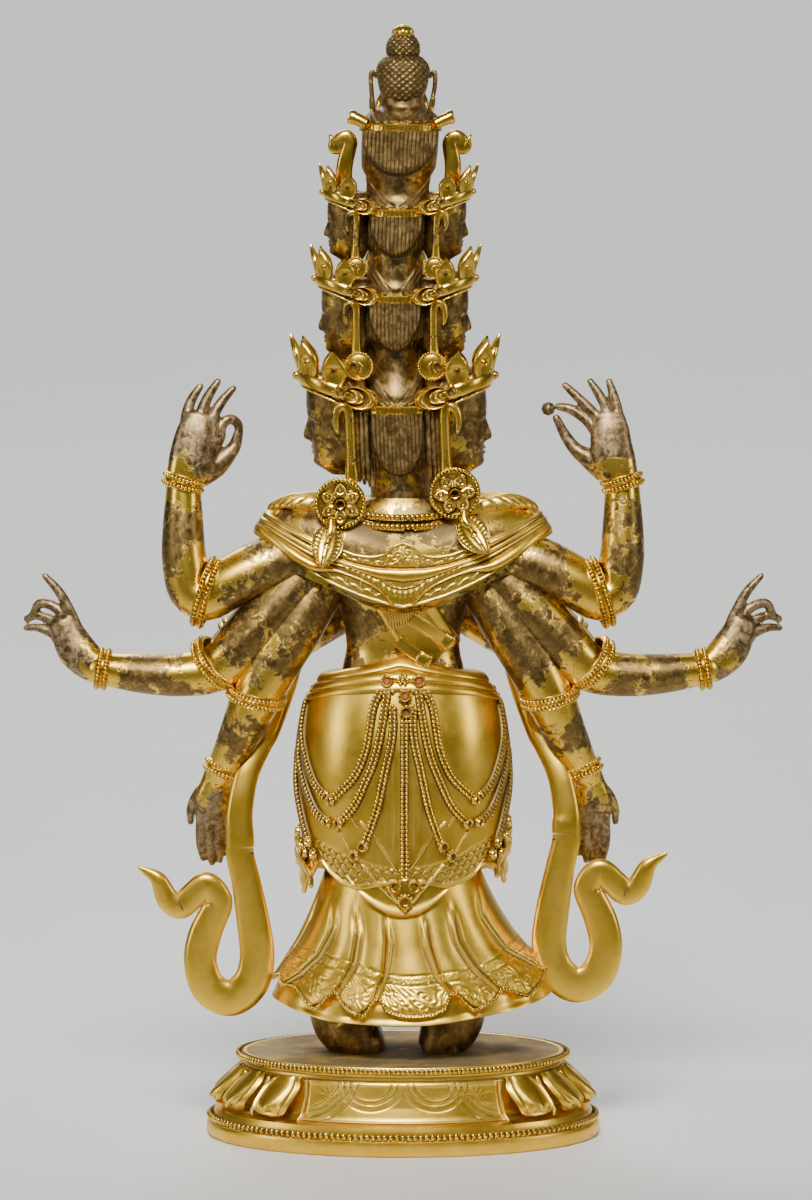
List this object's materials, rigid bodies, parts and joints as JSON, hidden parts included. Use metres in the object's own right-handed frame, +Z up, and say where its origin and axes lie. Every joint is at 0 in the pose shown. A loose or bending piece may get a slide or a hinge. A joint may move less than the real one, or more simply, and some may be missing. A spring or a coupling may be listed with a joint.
{
  "type": "many-headed standing figure on a lotus plinth",
  "caption": "Gilt bronze standing deity with stacked heads, spread arms, pleated skirt and curling scarves on a low oval lotus plinth.",
  "frame": {"origin": "centre of the plinth's underside, on the surface it stands on", "axes": "+Z up; the figure faces -Y, so its back is +Y and its left side is +X"},
  "size_m": [0.2452, 0.0838, 0.36],
  "materials": {
    "plinth_gilding": "fire-gilt bronze, slightly rubbed, dusty brown on top",
    "figure_gilt_bronze": "fire-gilt bronze, worn to olive-brown metal on the arms, faces and hair",
    "scarf_gilding": "bright fire gilding"
  },
  "bodies": {
    "root": {"plinth": "plinth_gilding", "figure": "figure_gilt_bronze", "scarf_end_left": "scarf_gilding", "scarf_end_right": "scarf_gilding"}
  },
  "joints": []
}
